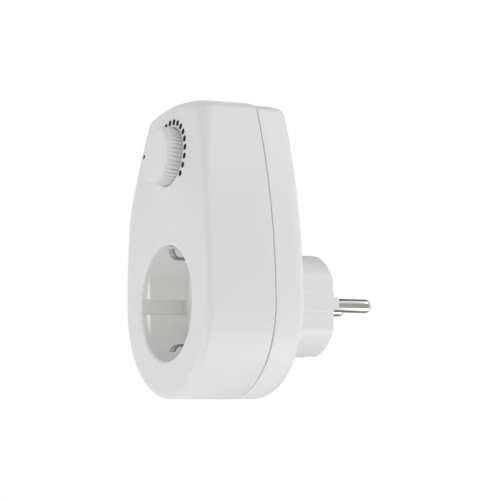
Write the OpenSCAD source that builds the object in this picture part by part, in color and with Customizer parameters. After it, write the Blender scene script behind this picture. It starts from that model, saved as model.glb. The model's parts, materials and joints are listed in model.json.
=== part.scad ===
// Plug-in rotary dimmer: a two-shell housing with a socket in front, a plug behind and a turning knob.
// Millimetres. The origin is the centre of the plug's face between its pins. X points right as seen
// from the front, Y points into the wall socket and Z points up.

/* [Housing] */
// Width of the flat border from the recess to the housing's side
border = 13; // [12:0.25:18]
// Height of the top arch's crest above the socket's centre
top_h = 70.9; // [69:0.1:84]
// Radius of the long curved sides
side_r = 187; // [160:1:400]
// Radius of the arch across the top
arch_r = 61; // [50:1:120]
// Radius of the two top corners
corner_r = 4; // [3.9:0.1:8]
// Depth of the front shell from its face to the parting line
front_d = 25.5; // [24:0.5:34]
// Depth of the rear cover from the parting line to its back
rear_d = 12.5; // [11:0.5:20]
// Wall of both shells
wall = 2.4; // [2:0.1:2.8]
// Radius of the rounded edge round the front
edge_r = 2.4; // [1.6:0.1:3.4]
// Depth of the softer edge along the top of the front
top_edge_d = 6; // [2.4:0.1:8]
// Rounding of the rear cover's edge, along its depth
back_edge_d = 4; // [2:0.1:6]
// Rounding of the rear cover's edge, across its back
back_edge_w = 3.2; // [2:0.1:3.2]
// Small break of the edges at the parting line
part_break = 0.3; // [0.1:0.05:0.5]
// Step from the front shell's skin in to the rear cover's skin
part_step = 0.6; // [0.2:0.1:0.7]
// Reach of the rear cover's tongue into the front shell
tongue_d = 1.6; // [1:0.1:3]
// Thickness of that tongue
tongue_t = 1.1; // [0.8:0.1:1.2]
// Clearance between pieces that slip into each other
slip = 0.15; // [0.1:0.05:0.25]

/* [Knob panel] */
// Height above the socket's centre where the panel starts to lean back
fold_z = 32.4; // [30:0.2:36]
// Half height of the soft bend there
fold_blend = 4; // [1:0.5:6]
// Lean of the knob panel
tilt = 5.9; // [2:0.1:9]
// Height of the knob's centre above the socket's centre
knob_z = 50.9; // [50:0.1:53]
// Radius of the knob
knob_r = 10.2; // [9:0.1:11]
// Height of the knob above the panel
knob_h = 5.6; // [4.5:0.1:8]
// Rounding of the knob's front edge
knob_edge_r = 0.7; // [0.4:0.1:1.5]
// Number of flutes round the knob
flute_n = 42; // [24:1:56]
// Radius of each flute
flute_r = 0.55; // [0.4:0.05:0.6]
// Depth of each flute
flute_d = 0.3; // [0.1:0.05:0.3]
// Thickness of the knob's face
knob_face_t = 1.6; // [1.2:0.1:2]
// Thickness of the knob's skirt
knob_skirt_t = 1.6; // [1.2:0.1:2.2]
// Depth of the well that the knob sits in
well_d = 1; // [0.6:0.1:1.4]
// Thickness of the well's floor
well_floor = 2; // [1.4:0.1:3]
// Gap round and under the knob
knob_gap = 0.3; // [0.25:0.05:0.5]
// Angle of the pointer at rest, counted from the right
pointer_a = 178; // [0:1:214]
// Distance of the pointer from the knob's axis
pointer_at = 8.5; // [7:0.1:8.8]
// Radius of the pointer dot
pointer_r = 0.6; // [0.4:0.05:0.8]
// Depth that the pointer dot is let in
pointer_d = 0.4; // [0.2:0.05:0.6]

/* [Potentiometer and board] */
// Radius of the turning shaft
shaft_r = 3; // [2:0.1:3.2]
// Depth of the flat on the shaft
shaft_flat = 0.8; // [0.4:0.1:1]
// Running clearance round the shaft
shaft_run = 0.05; // [0.02:0.01:0.08]
// Wall of the bushing round the shaft
bush_wall = 0.8; // [0.6:0.1:1]
// Radius of the potentiometer's case
pot_r = 8.2; // [7:0.1:8.6]
// Depth of the potentiometer's case
pot_d = 7.2; // [6:0.1:9]
// Width of the circuit board
board_w = 34; // [33:0.5:35]
// Reach of the board below the knob's axis
board_down = 23.5; // [23.5:0.1:24]
// Reach of the board above the knob's axis
board_up = 9.4; // [8.8:0.1:9.6]
// Thickness of the board
board_t = 1.6; // [1:0.1:2]

/* [Socket] */
// Depth of the socket's recess below the front
recess_d = 17.5; // [17:0.1:19]
// Reach of the front shell's opening past the recess
rim_over = 0.2; // [0.1:0.1:0.6]
// Rounding of the opening's lip
lip_r = 1.3; // [0.6:0.1:1.5]
// Radius of the recess
cup_r = 20; // [19.6:0.1:20]
// Wall of the cup
cup_wall = 1.5; // [1.2:0.1:1.5]
// Thickness of the recess's floor
floor_t = 2.5; // [2:0.1:3.5]
// Half distance between the flat pads on the two sides
pad_x = 17.3; // [17:0.1:18]
// Height of the groove between the pads
pad_groove = 5.4; // [4:0.1:7]
// Distance between the two pins and between the two pin holes
pin_pitch = 19; // [18.6:0.1:19.4]
// Radius of the pin holes
hole_r = 2.7; // [2.6:0.05:2.9]
// Chamfer at the mouth of each pin hole
hole_lead = 0.6; // [0.3:0.1:1]
// Thickness of the brass contact leaves
leaf_t = 0.6; // [0.4:0.05:0.8]
// Half gap between the contact leaves
leaf_gap = 2.5; // [2.45:0.05:2.7]
// Length of the contacts behind the floor
contact_l = 15.5; // [12:0.1:15.5]
// Length of the cages that hold the contacts
cage_l = 8; // [5:0.5:9]
// Wall of the cages
cage_wall = 1.2; // [0.8:0.1:1.3]

/* [Earth] */
// Width of the spring arms in the socket
clip_w = 3; // [2.6:0.1:4.5]
// Thickness of the earth strips
earth_t = 0.9; // [0.6:0.1:1]
// Distance of the arms from the recess's wall where they pass the floor
clip_root_in = 1.8; // [1.6:0.1:2.4]
// Distance of the upper arm's flat crest from the recess's wall
clip_crest_in = 4.5; // [4:0.1:5]
// Distance by which the lower arm's crest lies further in
clip_low_in = 1; // [0:0.1:1]
// Distance of the upper arm's tip from the recess's wall
clip_tip_in = 1.2; // [0.8:0.1:1.5]
// Distance by which the lower arm's tip ends sooner
clip_low_cut = 2; // [0:0.1:2]
// Distance behind the front at which the flat crests start
clip_crest_d = 9; // [8:0.1:10]
// Distance of the tips behind the front
clip_tip_d = 2.8; // [2.6:0.1:3.4]
// Radius of the curl from the crest to the tip
clip_curl_r = 2.6; // [1.5:0.1:3]
// Width of the strips on the plug
strap_w = 5.5; // [4:0.1:6]

/* [Plug] */
// Length of the plug body behind the rear cover
plug_l = 20; // [18:0.5:22]
// Radius of the plug body
plug_r = 18.33; // [18:0.01:18.6]
// Distance of the earth strips' outer faces inside the plug's radius
strap_in = 1.83; // [1.5:0.01:2.1]
// Half distance between the plug's side flats
plug_flat = 17.2; // [16.8:0.1:17.6]
// Height of the guide ribs on the flats, which pass between a socket's pads
guide_h = 5; // [4:0.1:5.2]
// Height of the guide ribs above the flats
guide_d = 0.5; // [0.3:0.1:0.7]
// Length of the plug's round root before the flats start
root_l = 1; // [0.5:0.1:2]
// Rounding of the plug's face edge
plug_edge_r = 1; // [0.4:0.1:1.4]
// Thickness of the plug's face
plug_face_t = 3; // [2.5:0.1:4]
// Radius of the plug's hollow
plug_bore_r = 15.3; // [15:0.1:15.3]
// Half height of the plug's hollow between the earth strips
plug_bore_z = 13.5; // [12:0.1:13.8]
// Reach of the flange that traps the plug body inside the rear cover
flange_w = 1.7; // [1:0.1:1.9]
// Thickness of that flange
flange_t = 1.5; // [1:0.1:2]
// Radius of the plug pins
pin_r = 2.4; // [2:0.05:2.4]
// Length of the plug pins
pin_l = 19; // [17:0.1:19]
// Length of the rounded tip of each pin
pin_tip = 2.4; // [1:0.1:2.4]
// Length of each pin behind the plug's face
pin_tail = 8; // [6:0.1:9]

/* [Conductors] */
// Thickness of the brass bars
bar_t = 0.8; // [0.5:0.1:1]
// Width of the brass bars
bar_w = 4; // [3:0.1:4.4]
// Distance of the two upper bars from the middle
bar_x = 8.5; // [8.2:0.1:8.6]
// Height at which the bars cross the plug's hollow
bar_run_z = 9.4; // [8.6:0.1:9.8]

/* [Screws] */
// Gap between the socket insert and the lower screw bosses
boss_gap = 0.4; // [0.2:0.1:0.6]
// Height of the upper housing screw
boss_top_z = 63.2; // [63:0.1:63.3]
// Radius of the front shell's screw bosses
boss_r = 3.3; // [2.8:0.1:3.3]
// Radius of the housing screws
screw_r = 1.45; // [1:0.05:1.6]
// Radius of the housing screws' heads
screw_head_r = 2.8; // [2.4:0.1:2.9]
// Height of the housing screws' heads
screw_head_h = 2; // [1.4:0.1:2.4]
// Depth of the screw heads' seats below the rear cover's back
screw_sink = 6; // [4:0.5:8]
// Length of the housing screws' shanks
screw_l = 16; // [12:0.5:18]
// Radius of the small screws inside
small_r = 1.1; // [0.8:0.05:1.2]
// Radius of the small screws' heads
small_head_r = 2.1; // [1.8:0.1:2.3]
// Height of the small screws' heads
small_head_h = 1.3; // [1:0.1:1.6]
// Length of the small screws' shanks
small_l = 7; // [5:0.5:8]

/* [Hidden] */
$fn = 64;

// Overlap of shapes that are fused or cut
eps = 0.2;
// Clearance round screws and rivets in their own holes
snug = 0.05;
// The round lower end of the housing is centred on the socket
half_w = cup_r + border;
rim_r = cup_r + rim_over;
strap_z = plug_r - strap_in;
clip_root_z = cup_r - clip_root_in;
clip_crest_z = cup_r - clip_crest_in;
clip_tip_z = cup_r - clip_tip_in;
y_back = -plug_l;
y_part = y_back - rear_d;
y_front = y_part - front_d;
y_floor = y_front + recess_d;
y_floor_back = y_floor + floor_t;
y_contact_end = y_floor_back + contact_l;
rear_inset = part_step + wall;
pin_x = pin_pitch / 2;
slope = tan(tilt);

// Centres and angles of the arcs that make up the outline
side_c = [half_w - side_r, 0];
arch_c = [0, top_h - arch_r];
function circles_meet(a, ra, b, rb) =
    let (d = norm(b - a), k = (d * d + ra * ra - rb * rb) / (2 * d), u = (b - a) / d)
    a + k * u + sqrt(ra * ra - k * k) * [-u[1], u[0]];
corner_c = circles_meet(side_c, side_r - corner_r, arch_c, arch_r - corner_r);
side_end = atan2(corner_c[1] - side_c[1], corner_c[0] - side_c[0]);
corner_end = atan2(corner_c[1] - arch_c[1], corner_c[0] - arch_c[0]);

// Steps along each arc of the half outline
bottom_n = 20;
side_n = 14;
corner_n = 6;
arch_n = 7;
half_n = bottom_n + side_n + corner_n + arch_n + 1;
ring_n = 2 * (half_n - 1);
edge_n = 5;

function on_arc(c, r, a) = c + r * [cos(a), sin(a)];

// Right half of the outline from the bottom to the crest, moved in by an inset
function half_outline(inset) = concat(
    [for (i = [0 : bottom_n - 1]) on_arc([0, 0], half_w - inset, 90 * i / bottom_n - 90)],
    [for (i = [0 : side_n - 1]) on_arc(side_c, side_r - inset, side_end * i / side_n)],
    [for (i = [0 : corner_n - 1])
        on_arc(corner_c, max(corner_r - inset, eps), side_end + (corner_end - side_end) * i / corner_n)],
    [for (i = [0 : arch_n]) on_arc(arch_c, arch_r - inset, corner_end + (90 - corner_end) * i / arch_n)]
);
function outline(inset) = let (h = half_outline(inset)) concat(
    [for (i = [0 : half_n - 2]) h[i]],
    [[0, h[half_n - 1][1]]],
    [for (i = [half_n - 2 : -1 : 1]) [-h[i][0], h[i][1]]]
);

// Place of the front's skin: upright below, leaning back above the fold, with a soft bend between
function face_y(z) = let (u = z - fold_z)
    y_front + slope * (u < -fold_blend ? 0 : u > fold_blend ? u : (u + fold_blend) ^ 2 / (4 * fold_blend));

// The front edge is deeper along the top
function smooth(u) = let (c = min(max(u, 0), 1)) c * c * (3 - 2 * c);
function front_edge_d(z) =
    edge_r + (top_edge_d - edge_r) * smooth((z - corner_c[1] + corner_r) / (2 * corner_r));

knob_y = face_y(knob_z);
pot_front = well_d + well_floor;
board_front = pot_front + pot_d;
board_back = board_front + board_t;
well_r = knob_r + knob_gap;
bush_r = shaft_r + shaft_run + bush_wall;
knob_back = well_d - knob_gap;
hub_wall = 1.6;
hub_r = shaft_r + hub_wall;

// Places of the screws: the lower bosses clear the socket insert and the plug's flange
seat_wall = 1.2;
rear_boss_r = screw_head_r + slip + seat_wall;
boss_at = max(cup_r + cup_wall + boss_gap + boss_r, plug_r + flange_w + boss_gap + rear_boss_r);
lower_boss = boss_at * [sin(45), -cos(45)];
bosses = [lower_boss, [-lower_boss[0], lower_boss[1]], [0, boss_top_z]];
y_screw_seat = y_back - screw_sink;
post_r = small_head_r + 0.3;
ring_t = 1.2;
ring_d = 3;
ear_t = 2.5;
ear_r = 4;
ear_out = 3.2;
ear_x = cup_r + cup_wall + ear_out;
ear_d = 11;
y_ear = y_front + ear_d;
bar_gap = 0.8;
board_post = [bar_x + bar_w / 2 + bar_gap + small_head_r, -19.8];
rivet_r = 1.5;
rivet_head_r = 2.7;
rivet_head_t = 1;
grip_r = pin_r + 0.2;

// Places on the circuit board, counted along the panel from the knob's axis
sink_edge = 4.5;
sink_x = board_w / 2 - sink_edge;
sink_t = 1.5;
sink_h = 17.5;
sink_s = [-10, 8];
triac_s = -2;
triac_leg_h = 2.4;
triac_h = 9.2;
triac_tab_h = 5.8;
triac_t = 4.5;
triac_w = 10;
tab_t = 1.3;
choke_r = 6.4;
choke_edge = 2.6;
choke_at = [choke_edge + choke_r - board_w / 2, -9];
choke_h = 12;
film_size = [14, 12, 6];
film_edge = 1;
film_at = [film_edge + film_size[0] / 2 - board_w / 2, 4];
timing_size = [7, 6, 2.6];
timing_gap = 1.5;
timing_at = [film_at[0] + film_size[0] / 2 + timing_gap + timing_size[0] / 2, 7.2];
fuse_x = 3;
fuse_s = -6;
fuse_l = 20;
fuse_r = 2.5;
fuse_up = 3.8;
bar_tab_s = [-22.6, -17.8];
resistor_gap = 0.5;
resistor_lead = 1;
fuse_clip_t = 0.6;
resistor_x = fuse_x + fuse_r + fuse_clip_t + resistor_gap + resistor_lead;
resistor_s = [-15.8, -12.6];

shell_colour = "#e6e6e4";
recess_colour = "#dcdcda";
metal_colour = "#b9bbbd";
brass_colour = "#c9a75a";
dark_colour = "#2a2a2a";

// Helpers: extrude a front view along Y, revolve round Y, bend a strip in the YZ plane
module extrude_y(y0, y1) {
    translate([0, y1, 0]) rotate([90, 0, 0]) linear_extrude(y1 - y0) children();
}
module turn_y(points) {
    rotate([-90, 0, 0]) rotate_extrude() polygon(points);
}
module rod_y(r, y0, y1) {
    translate([0, y0, 0]) rotate([-90, 0, 0]) cylinder(h = y1 - y0, r = r);
}
module box(a, b) {
    translate(a) cube(b - a);
}
// A strip's two long sides make one loop, mitred at each bend
function strip_normal(path, i) = let (run = path[i] - path[i - 1]) [-run[1], run[0]] / norm(run);
function strip_side(path, off) = let (last = len(path) - 1)
    [for (i = [0 : last]) let (n0 = strip_normal(path, max(i, 1)), n1 = strip_normal(path, min(i + 1, last)))
        path[i] + off * (n0 + n1) / (1 + n0 * n1)];
module bent_strip(path, t, w) {
    far = strip_side(path, t / 2);
    near = strip_side(path, -t / 2);
    rotate([90, 0, 90]) linear_extrude(w, center = true)
        polygon(concat(far, [for (i = [len(path) - 1 : -1 : 0]) near[i]]));
}
function both_arms(low, high) = concat([for (i = [len(low) - 1 : -1 : 0]) [low[i][0], -low[i][1]]], high);
// The knob panel's own frame: X across, Y inwards from the skin, Z up along the panel
module on_panel() {
    translate([0, knob_y, knob_z]) rotate([-tilt, 0, 0]) children();
}
module both_sides() {
    children();
    mirror([1, 0, 0]) children();
}

// Closed cup from rings of points: a ring runs up the right side and down the left
module ring_loft(rings) {
    last = len(rings) - 1;
    function at(k, i) = k * ring_n + (i % ring_n);
    function left(i) = (ring_n - i) % ring_n;
    walls = [for (k = [0 : last - 1], i = [0 : ring_n - 1], f = [0, 1])
        f == 0 ? [at(k, i), at(k + 1, i), at(k + 1, i + 1)] : [at(k, i), at(k + 1, i + 1), at(k, i + 1)]];
    function cap(k) = concat(
        [[at(k, 0), at(k, 1), at(k, left(1))]],
        [for (i = [1 : half_n - 3], f = [0, 1])
            f == 0 ? [at(k, i), at(k, i + 1), at(k, left(i + 1))]
                : [at(k, i), at(k, left(i + 1)), at(k, left(i))]],
        [[at(k, half_n - 2), at(k, half_n - 1), at(k, left(half_n - 2))]]);
    last_cap = [for (f = cap(last)) [f[0], f[2], f[1]]];
    polyhedron(points = [for (r = rings) each r], faces = concat(cap(0), walls, last_cap), convexity = 6);
}
function front_ring(inset, depth, edge) =
    [for (p = outline(inset)) [p[0], face_y(p[1]) + depth + edge * front_edge_d(p[1]), p[1]]];
function flat_ring(inset, y) = [for (p = outline(inset)) [p[0], y, p[1]]];

module front_cup() {
    ring_loft(concat(
        [front_ring(wall, wall, 0), flat_ring(wall, y_part), flat_ring(part_break, y_part),
            flat_ring(0, y_part - part_break)],
        [for (i = [0 : edge_n]) let (a = 90 * i / edge_n) front_ring(edge_r * (1 - cos(a)), 0, 1 - sin(a))]
    ));
}
// The rear cup is drawn with its back towards -Y and mirrored into place
module rear_cup() {
    mirror([0, 1, 0]) ring_loft(concat(
        [flat_ring(rear_inset, -y_back + wall), flat_ring(rear_inset, -y_part),
            flat_ring(part_step + part_break, -y_part), flat_ring(part_step, -y_part - part_break)],
        [for (i = [0 : edge_n]) let (a = 90 * i / edge_n)
            flat_ring(part_step + back_edge_w * (1 - cos(a)), -y_back + back_edge_d * (1 - sin(a)))]
    ));
}

module front_shell() {
    y_in = y_front + wall;
    color(shell_colour) difference() {
        union() {
            front_cup();
            // Ring that centres the socket insert
            difference() {
                rod_y(cup_r + cup_wall + slip + ring_t, y_in - eps, y_in + ring_d);
                rod_y(cup_r + cup_wall + slip, y_in - 2 * eps, y_in + ring_d + 1);
            }
            for (b = bosses) translate([b[0], 0, b[1]]) rod_y(boss_r, face_y(b[1]) + wall / 2, y_part);
            both_sides() translate([ear_x, 0, 0]) rod_y(post_r, y_in - eps, y_ear);
            on_panel() {
                rod_y(well_r + wall, wall / 2, pot_front);
                both_sides() translate([board_post[0], 0, board_post[1]])
                    rod_y(post_r, wall / 2, board_front);
            }
        }
        // Opening of the socket with its rounded lip
        turn_y(concat(
            [[0, y_front - 1], [rim_r + lip_r, y_front - 1]],
            [for (a = [0 : 10 : 90])
                [rim_r + lip_r * (1 - sin(a)), y_front + lip_r * (1 - cos(a))]],
            [[rim_r, y_in + eps], [0, y_in + eps]]));
        for (b = bosses) translate([b[0], 0, b[1]])
            rod_y(screw_r + snug, y_screw_seat - screw_l - 1, y_part + 1);
        both_sides() translate([ear_x, 0, 0]) rod_y(small_r + snug, y_ear - small_l + ear_t - eps, y_ear + 1);
        on_panel() {
            rod_y(well_r, -1, well_d);
            rod_y(bush_r + slip, 0, pot_front + 1);
            both_sides() translate([board_post[0], 0, board_post[1]])
                rod_y(small_r + snug, board_front - small_l + board_t - eps, board_front + 1);
        }
    }
}

module rear_cover() {
    y_in = y_back - wall;
    color(shell_colour) difference() {
        union() {
            rear_cup();
            // Tongue that locates the cover inside the front shell and clears its bosses
            extrude_y(y_part - tongue_d, y_part + 1) difference() {
                polygon(outline(wall + slip));
                polygon(outline(wall + slip + tongue_t));
            }
            for (b = bosses) translate([b[0], 0, b[1]]) rod_y(rear_boss_r, y_part, y_in + eps);
        }
        rod_y(plug_r + slip, y_in - 1, y_back + 1);
        for (b = bosses) translate([b[0], 0, b[1]]) {
            rod_y(boss_r + slip, y_part - tongue_d - 1, y_part);
            rod_y(screw_r + slip, y_part - 1, y_back + 1);
            rod_y(screw_head_r + slip, y_screw_seat, y_back + 1);
        }
    }
}

// Cross-section of a contact round a pin, with its closed side outwards
module contact_section(grow) {
    leaf_w = 5.7;
    leaf_from = -2.6;
    if (grow > 0)
        translate([leaf_from - grow, -leaf_gap - leaf_t - grow])
            square([leaf_w + leaf_t + 2 * grow, 2 * (leaf_gap + leaf_t + grow)]);
    else {
        for (s = [-1, 1]) translate([leaf_from, s * (leaf_gap + leaf_t / 2) - leaf_t / 2])
            square([leaf_w, leaf_t]);
        translate([leaf_from + leaf_w, -leaf_gap - leaf_t]) square([leaf_t, 2 * (leaf_gap + leaf_t)]);
    }
}

module socket_insert() {
    y_mouth = y_front + wall;
    slot_h = earth_t + 2 * slip;
    clip_room = 1.5;
    color(recess_colour) difference() {
        union() {
            rod_y(cup_r + cup_wall, y_mouth, y_floor_back);
            both_sides() {
                extrude_y(y_ear, y_ear + ear_t) translate([cup_r, -ear_r]) square([ear_x - cup_r, 2 * ear_r]);
                translate([ear_x, 0, 0]) rod_y(ear_r, y_ear, y_ear + ear_t);
                translate([pin_x, 0, 0]) extrude_y(y_floor_back - eps, y_floor_back + cage_l)
                    contact_section(slip + cage_wall);
            }
        }
        // Recess: round, with flat pads on both sides and a groove between the pads
        extrude_y(y_mouth - 1, y_floor) {
            intersection() {
                circle(cup_r);
                square([2 * pad_x, 3 * cup_r], center = true);
            }
            intersection() {
                circle(cup_r);
                square([3 * cup_r, pad_groove], center = true);
            }
            square([clip_w + clip_room, 2 * (cup_r + cup_wall / 2)], center = true);
        }
        both_sides() translate([pin_x, 0, 0]) {
            turn_y([[0, y_floor - 1], [hole_r + hole_lead, y_floor - 1], [hole_r + hole_lead, y_floor],
                [hole_r, y_floor + hole_lead], [hole_r, y_floor_back + 1], [0, y_floor_back + 1]]);
            extrude_y(y_floor_back, y_floor_back + cage_l + 1) contact_section(slip);
            translate([ear_x - pin_x, 0, 0]) rod_y(small_r + slip, y_ear - 1, y_ear + ear_t + 1);
        }
        // Slots for the earth arms and a pocket for the rivet's head
        for (s = [-1, 1])
            extrude_y(y_floor - 1, y_floor_back + 1) translate([0, s * clip_root_z])
                square([clip_w + 2 * slip, slot_h], center = true);
        rod_y(rivet_head_r + slip, y_floor_back - rivet_head_t - slip, y_floor_back + 1);
    }
}

module plug_body() {
    y_flange = y_back - wall;
    color(shell_colour) difference() {
        turn_y(concat(
            [[0, y_flange - flange_t], [plug_r + flange_w, y_flange - flange_t],
                [plug_r + flange_w, y_flange], [plug_r, y_flange], [plug_r, -plug_edge_r]],
            [for (a = [15 : 15 : 90])
                [plug_r - plug_edge_r * (1 - cos(a)), -plug_edge_r * (1 - sin(a))]],
            [[0, 0]]));
        // Hollow that is open towards the housing
        extrude_y(y_flange - flange_t - 1, -plug_face_t) intersection() {
            circle(plug_bore_r);
            square([4 * plug_r, 2 * plug_bore_z], center = true);
        }
        both_sides() {
            // Flats that leave a guide rib
            difference() {
                box([plug_flat, y_back + root_l, -2 * plug_r], [2 * plug_r, 1, 2 * plug_r]);
                box([0, y_back, -guide_h / 2], [plug_flat + guide_d, 2, guide_h / 2]);
            }
            translate([pin_x, 0, 0]) rod_y(grip_r + snug, -plug_face_t - 1, 1);
        }
        // Channels for the earth strips, open through the flange
        for (s = [0, 1]) mirror([0, 0, s])
            box([-strap_w / 2 - slip, y_flange - flange_t - 1, strap_z - earth_t],
                [strap_w / 2 + slip, 1, 2 * plug_r]);
    }
}

// A pin is thicker inside the plug's face and has a collar behind it
module plug_pin() {
    collar_r = pin_r + 1.2;
    collar_t = 1.5;
    color(metal_colour) turn_y(concat(
        [[0, -pin_tail], [pin_r, -pin_tail], [pin_r, -plug_face_t - collar_t],
            [collar_r, -plug_face_t - collar_t], [collar_r, -plug_face_t], [grip_r, -plug_face_t],
            [grip_r, 0], [pin_r, 0]],
        [for (a = [0 : 10 : 90]) [pin_r * cos(a), pin_l - pin_tip * (1 - sin(a))]]));
}
module plug_pin_live() {
    translate([pin_x, 0, 0]) plug_pin();
}
module plug_pin_neutral() {
    translate([-pin_x, 0, 0]) plug_pin();
}

// Spring arm from the base to its tip: a wave to the flat crest, then a curl outwards
arm_n = 10;
curl_n = 6;
clip_base_y = y_floor_back + earth_t / 2;
clip_crest_y = y_front + clip_crest_d;
clip_tip_y = y_front + clip_tip_d;
function clip_arm(further_in, cut) =
    let (crest_z = clip_crest_z - further_in)
    let (rise = clip_tip_z - cut - crest_z)
    let (curl_end = acos(1 - min(rise / clip_curl_r, 1))) concat(
    [[clip_base_y, clip_root_z], [y_floor, clip_root_z]],
    [for (i = [1 : arm_n]) let (u = i / arm_n)
        [y_floor + (clip_crest_y - y_floor) * u,
            clip_root_z - (clip_root_z - crest_z) * (1 - cos(180 * u)) / 2]],
    [for (i = [0 : curl_n]) let (a = curl_end * i / curl_n)
        [clip_tip_y + clip_curl_r * (1 - sin(a)), crest_z + clip_curl_r * (1 - cos(a))]],
    rise > clip_curl_r ? [[clip_tip_y, crest_z + rise]] : []);
module earth_clip() {
    color(metal_colour) difference() {
        bent_strip(both_arms(clip_arm(clip_low_in, clip_low_cut), clip_arm(0, 0)), earth_t, clip_w);
        rod_y(rivet_r + snug, y_floor_back - 1, y_floor_back + earth_t + 1);
    }
}
strap_base_y = y_floor_back + 1.5 * earth_t;
module plug_earth_strap() {
    arm_z = strap_z - earth_t / 2;
    arm = [[strap_base_y, arm_z], [-plug_edge_r, arm_z]];
    color(metal_colour) difference() {
        bent_strip(both_arms(arm, arm), earth_t, strap_w);
        rod_y(rivet_r + snug, y_floor_back, y_floor_back + 2 * earth_t + 1);
    }
}
module earth_rivet() {
    y_far = y_floor_back + 2 * earth_t;
    color(metal_colour) {
        rod_y(rivet_r, y_floor_back - eps, y_far + eps);
        rod_y(rivet_head_r, y_floor_back - rivet_head_t, y_floor_back);
        rod_y(rivet_head_r, y_far, y_far + rivet_head_t);
    }
}

// A contact grips a pin between two leaves; its tail meets a brass bar
module contact(tail) {
    tail_z = bar_run_z - bar_t / 2;
    tail_w = 4;
    color(brass_colour) translate([pin_x, 0, 0]) {
        extrude_y(y_floor_back, y_contact_end) contact_section(0);
        mirror([0, 0, tail > 0 ? 0 : 1])
            box([-tail_w / 2, y_contact_end - leaf_t, leaf_gap], [tail_w / 2, y_contact_end, tail_z]);
    }
}
module contact_neutral() {
    contact(-1);
}
module contact_load() {
    mirror([1, 0, 0]) contact(1);
}

module pin_flutes() {
    for (i = [0 : flute_n - 1])
        rotate([0, 360 * i / flute_n, 0]) translate([knob_r + flute_r - flute_d, 0, 0])
            rod_y(flute_r, -knob_h - 1, knob_back + 1);
}
module dimmer_knob() {
    color(shell_colour) on_panel() difference() {
        turn_y(concat(
            [[0, knob_back], [knob_r, knob_back]],
            [for (a = [0 : 15 : 90])
                [knob_r - knob_edge_r * (1 - cos(a)), -knob_h + knob_edge_r * (1 - sin(a))]],
            [[0, -knob_h]]));
        // Hollow under the face, round the hub
        turn_y([[hub_r, knob_face_t - knob_h], [knob_r - knob_skirt_t, knob_face_t - knob_h],
            [knob_r - knob_skirt_t, knob_back + 1], [hub_r, knob_back + 1]]);
        knob_bore(shaft_run, 1);
        pin_flutes();
        pointer_place() rod_y(pointer_r, -knob_h - 1, pointer_d - knob_h);
    }
}
// The shaft's end and the knob's bore share one D shape
module knob_bore(grow, past) {
    difference() {
        rod_y(shaft_r + grow, knob_face_t - knob_h - grow, knob_back + past);
        box([shaft_r - shaft_flat + grow, -2 * knob_h, -2 * shaft_r], [2 * shaft_r, 2 * knob_h, 2 * shaft_r]);
    }
}
module pointer_place() {
    translate([pointer_at * cos(pointer_a), 0, pointer_at * sin(pointer_a)]) children();
}
module knob_pointer() {
    color(dark_colour) on_panel() pointer_place() rod_y(pointer_r, -knob_h, pointer_d - knob_h);
}
module pot_shaft() {
    color(metal_colour) on_panel() union() {
        knob_bore(0, 0);
        rod_y(shaft_r, knob_back, pot_front + pot_d / 2);
    }
}
module pot_case() {
    color("#3b4a3f") on_panel() difference() {
        union() {
            rod_y(pot_r, pot_front, board_front);
            rod_y(bush_r, well_d, pot_front + eps);
        }
        rod_y(shaft_r + shaft_run, well_d - 1, pot_front + pot_d / 2 + slip);
    }
}
terminal_pitch = 5;
terminal_w = 1.2;
terminal_reach = 2.4;
module pot_terminals() {
    half = terminal_w / 2;
    color(metal_colour) on_panel() for (i = [-1 : 1]) translate([i * terminal_pitch, 0, 0]) {
        inner_x = max(abs(i) * terminal_pitch - half, 0);
        box([-half, board_front - terminal_w, -pot_r - terminal_reach],
            [half, board_front, -sqrt(pot_r ^ 2 - inner_x ^ 2)]);
    }
}

module circuit_board() {
    color("#2f6b45") on_panel() difference() {
        box([-board_w / 2, board_front, -board_down], [board_w / 2, board_back, board_up]);
        both_sides() translate([board_post[0], 0, board_post[1]])
            rod_y(small_r + slip, board_front - 1, board_back + 1);
    }
}
module small_screw(y_seat) {
    half_slot = 0.3;
    rod_y(small_r, y_seat - small_l, y_seat + eps);
    difference() {
        rod_y(small_head_r, y_seat, y_seat + small_head_h);
        box([-half_slot, y_seat + small_head_h / 2, -small_head_r - 1],
            [half_slot, y_seat + small_head_h + 1, small_head_r + 1]);
    }
}
module board_screws() {
    color(metal_colour) on_panel() both_sides()
        translate([board_post[0], 0, board_post[1]]) small_screw(board_back);
}
module insert_screws() {
    color(metal_colour) both_sides() translate([ear_x, 0, 0]) small_screw(y_ear + ear_t);
}

// Triac on its heat sink, standing on three legs
triac_top = board_back + triac_leg_h + triac_h;
tab_hole_up = triac_top + triac_tab_h / 2;
tab_screw_r = 1.5;
tab_hole_r = tab_screw_r + 0.1;
module triac() {
    leg_pitch = 2.54;
    leg = [0.3, 0.4];
    color(dark_colour) on_panel() difference() {
        union() {
            box([sink_x - triac_t, board_back + triac_leg_h, triac_s - triac_w / 2],
                [sink_x, triac_top, triac_s + triac_w / 2]);
            box([sink_x - tab_t, triac_top - eps, triac_s - triac_w / 2],
                [sink_x, triac_top + triac_tab_h, triac_s + triac_w / 2]);
            for (i = [-1 : 1]) translate([sink_x - triac_t / 2, 0, triac_s + i * leg_pitch])
                box([-leg[0], board_back, -leg[1]], [leg[0], board_back + triac_leg_h + eps, leg[1]]);
        }
        translate([0, tab_hole_up, triac_s]) rotate([0, 90, 0]) cylinder(h = 2 * sink_x, r = tab_hole_r);
    }
}
module heat_sink() {
    lip = 4;
    color("#c4c6c8") on_panel() difference() {
        union() {
            box([sink_x, board_back, sink_s[0]], [sink_x + sink_t, board_back + sink_h, sink_s[1]]);
            box([sink_x - lip, board_back + sink_h - sink_t, sink_s[0]],
                [sink_x + sink_t, board_back + sink_h, triac_s - triac_w / 2 - 1]);
        }
        translate([0, tab_hole_up, triac_s]) rotate([0, 90, 0]) cylinder(h = 2 * sink_x, r = tab_hole_r);
    }
}
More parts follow.
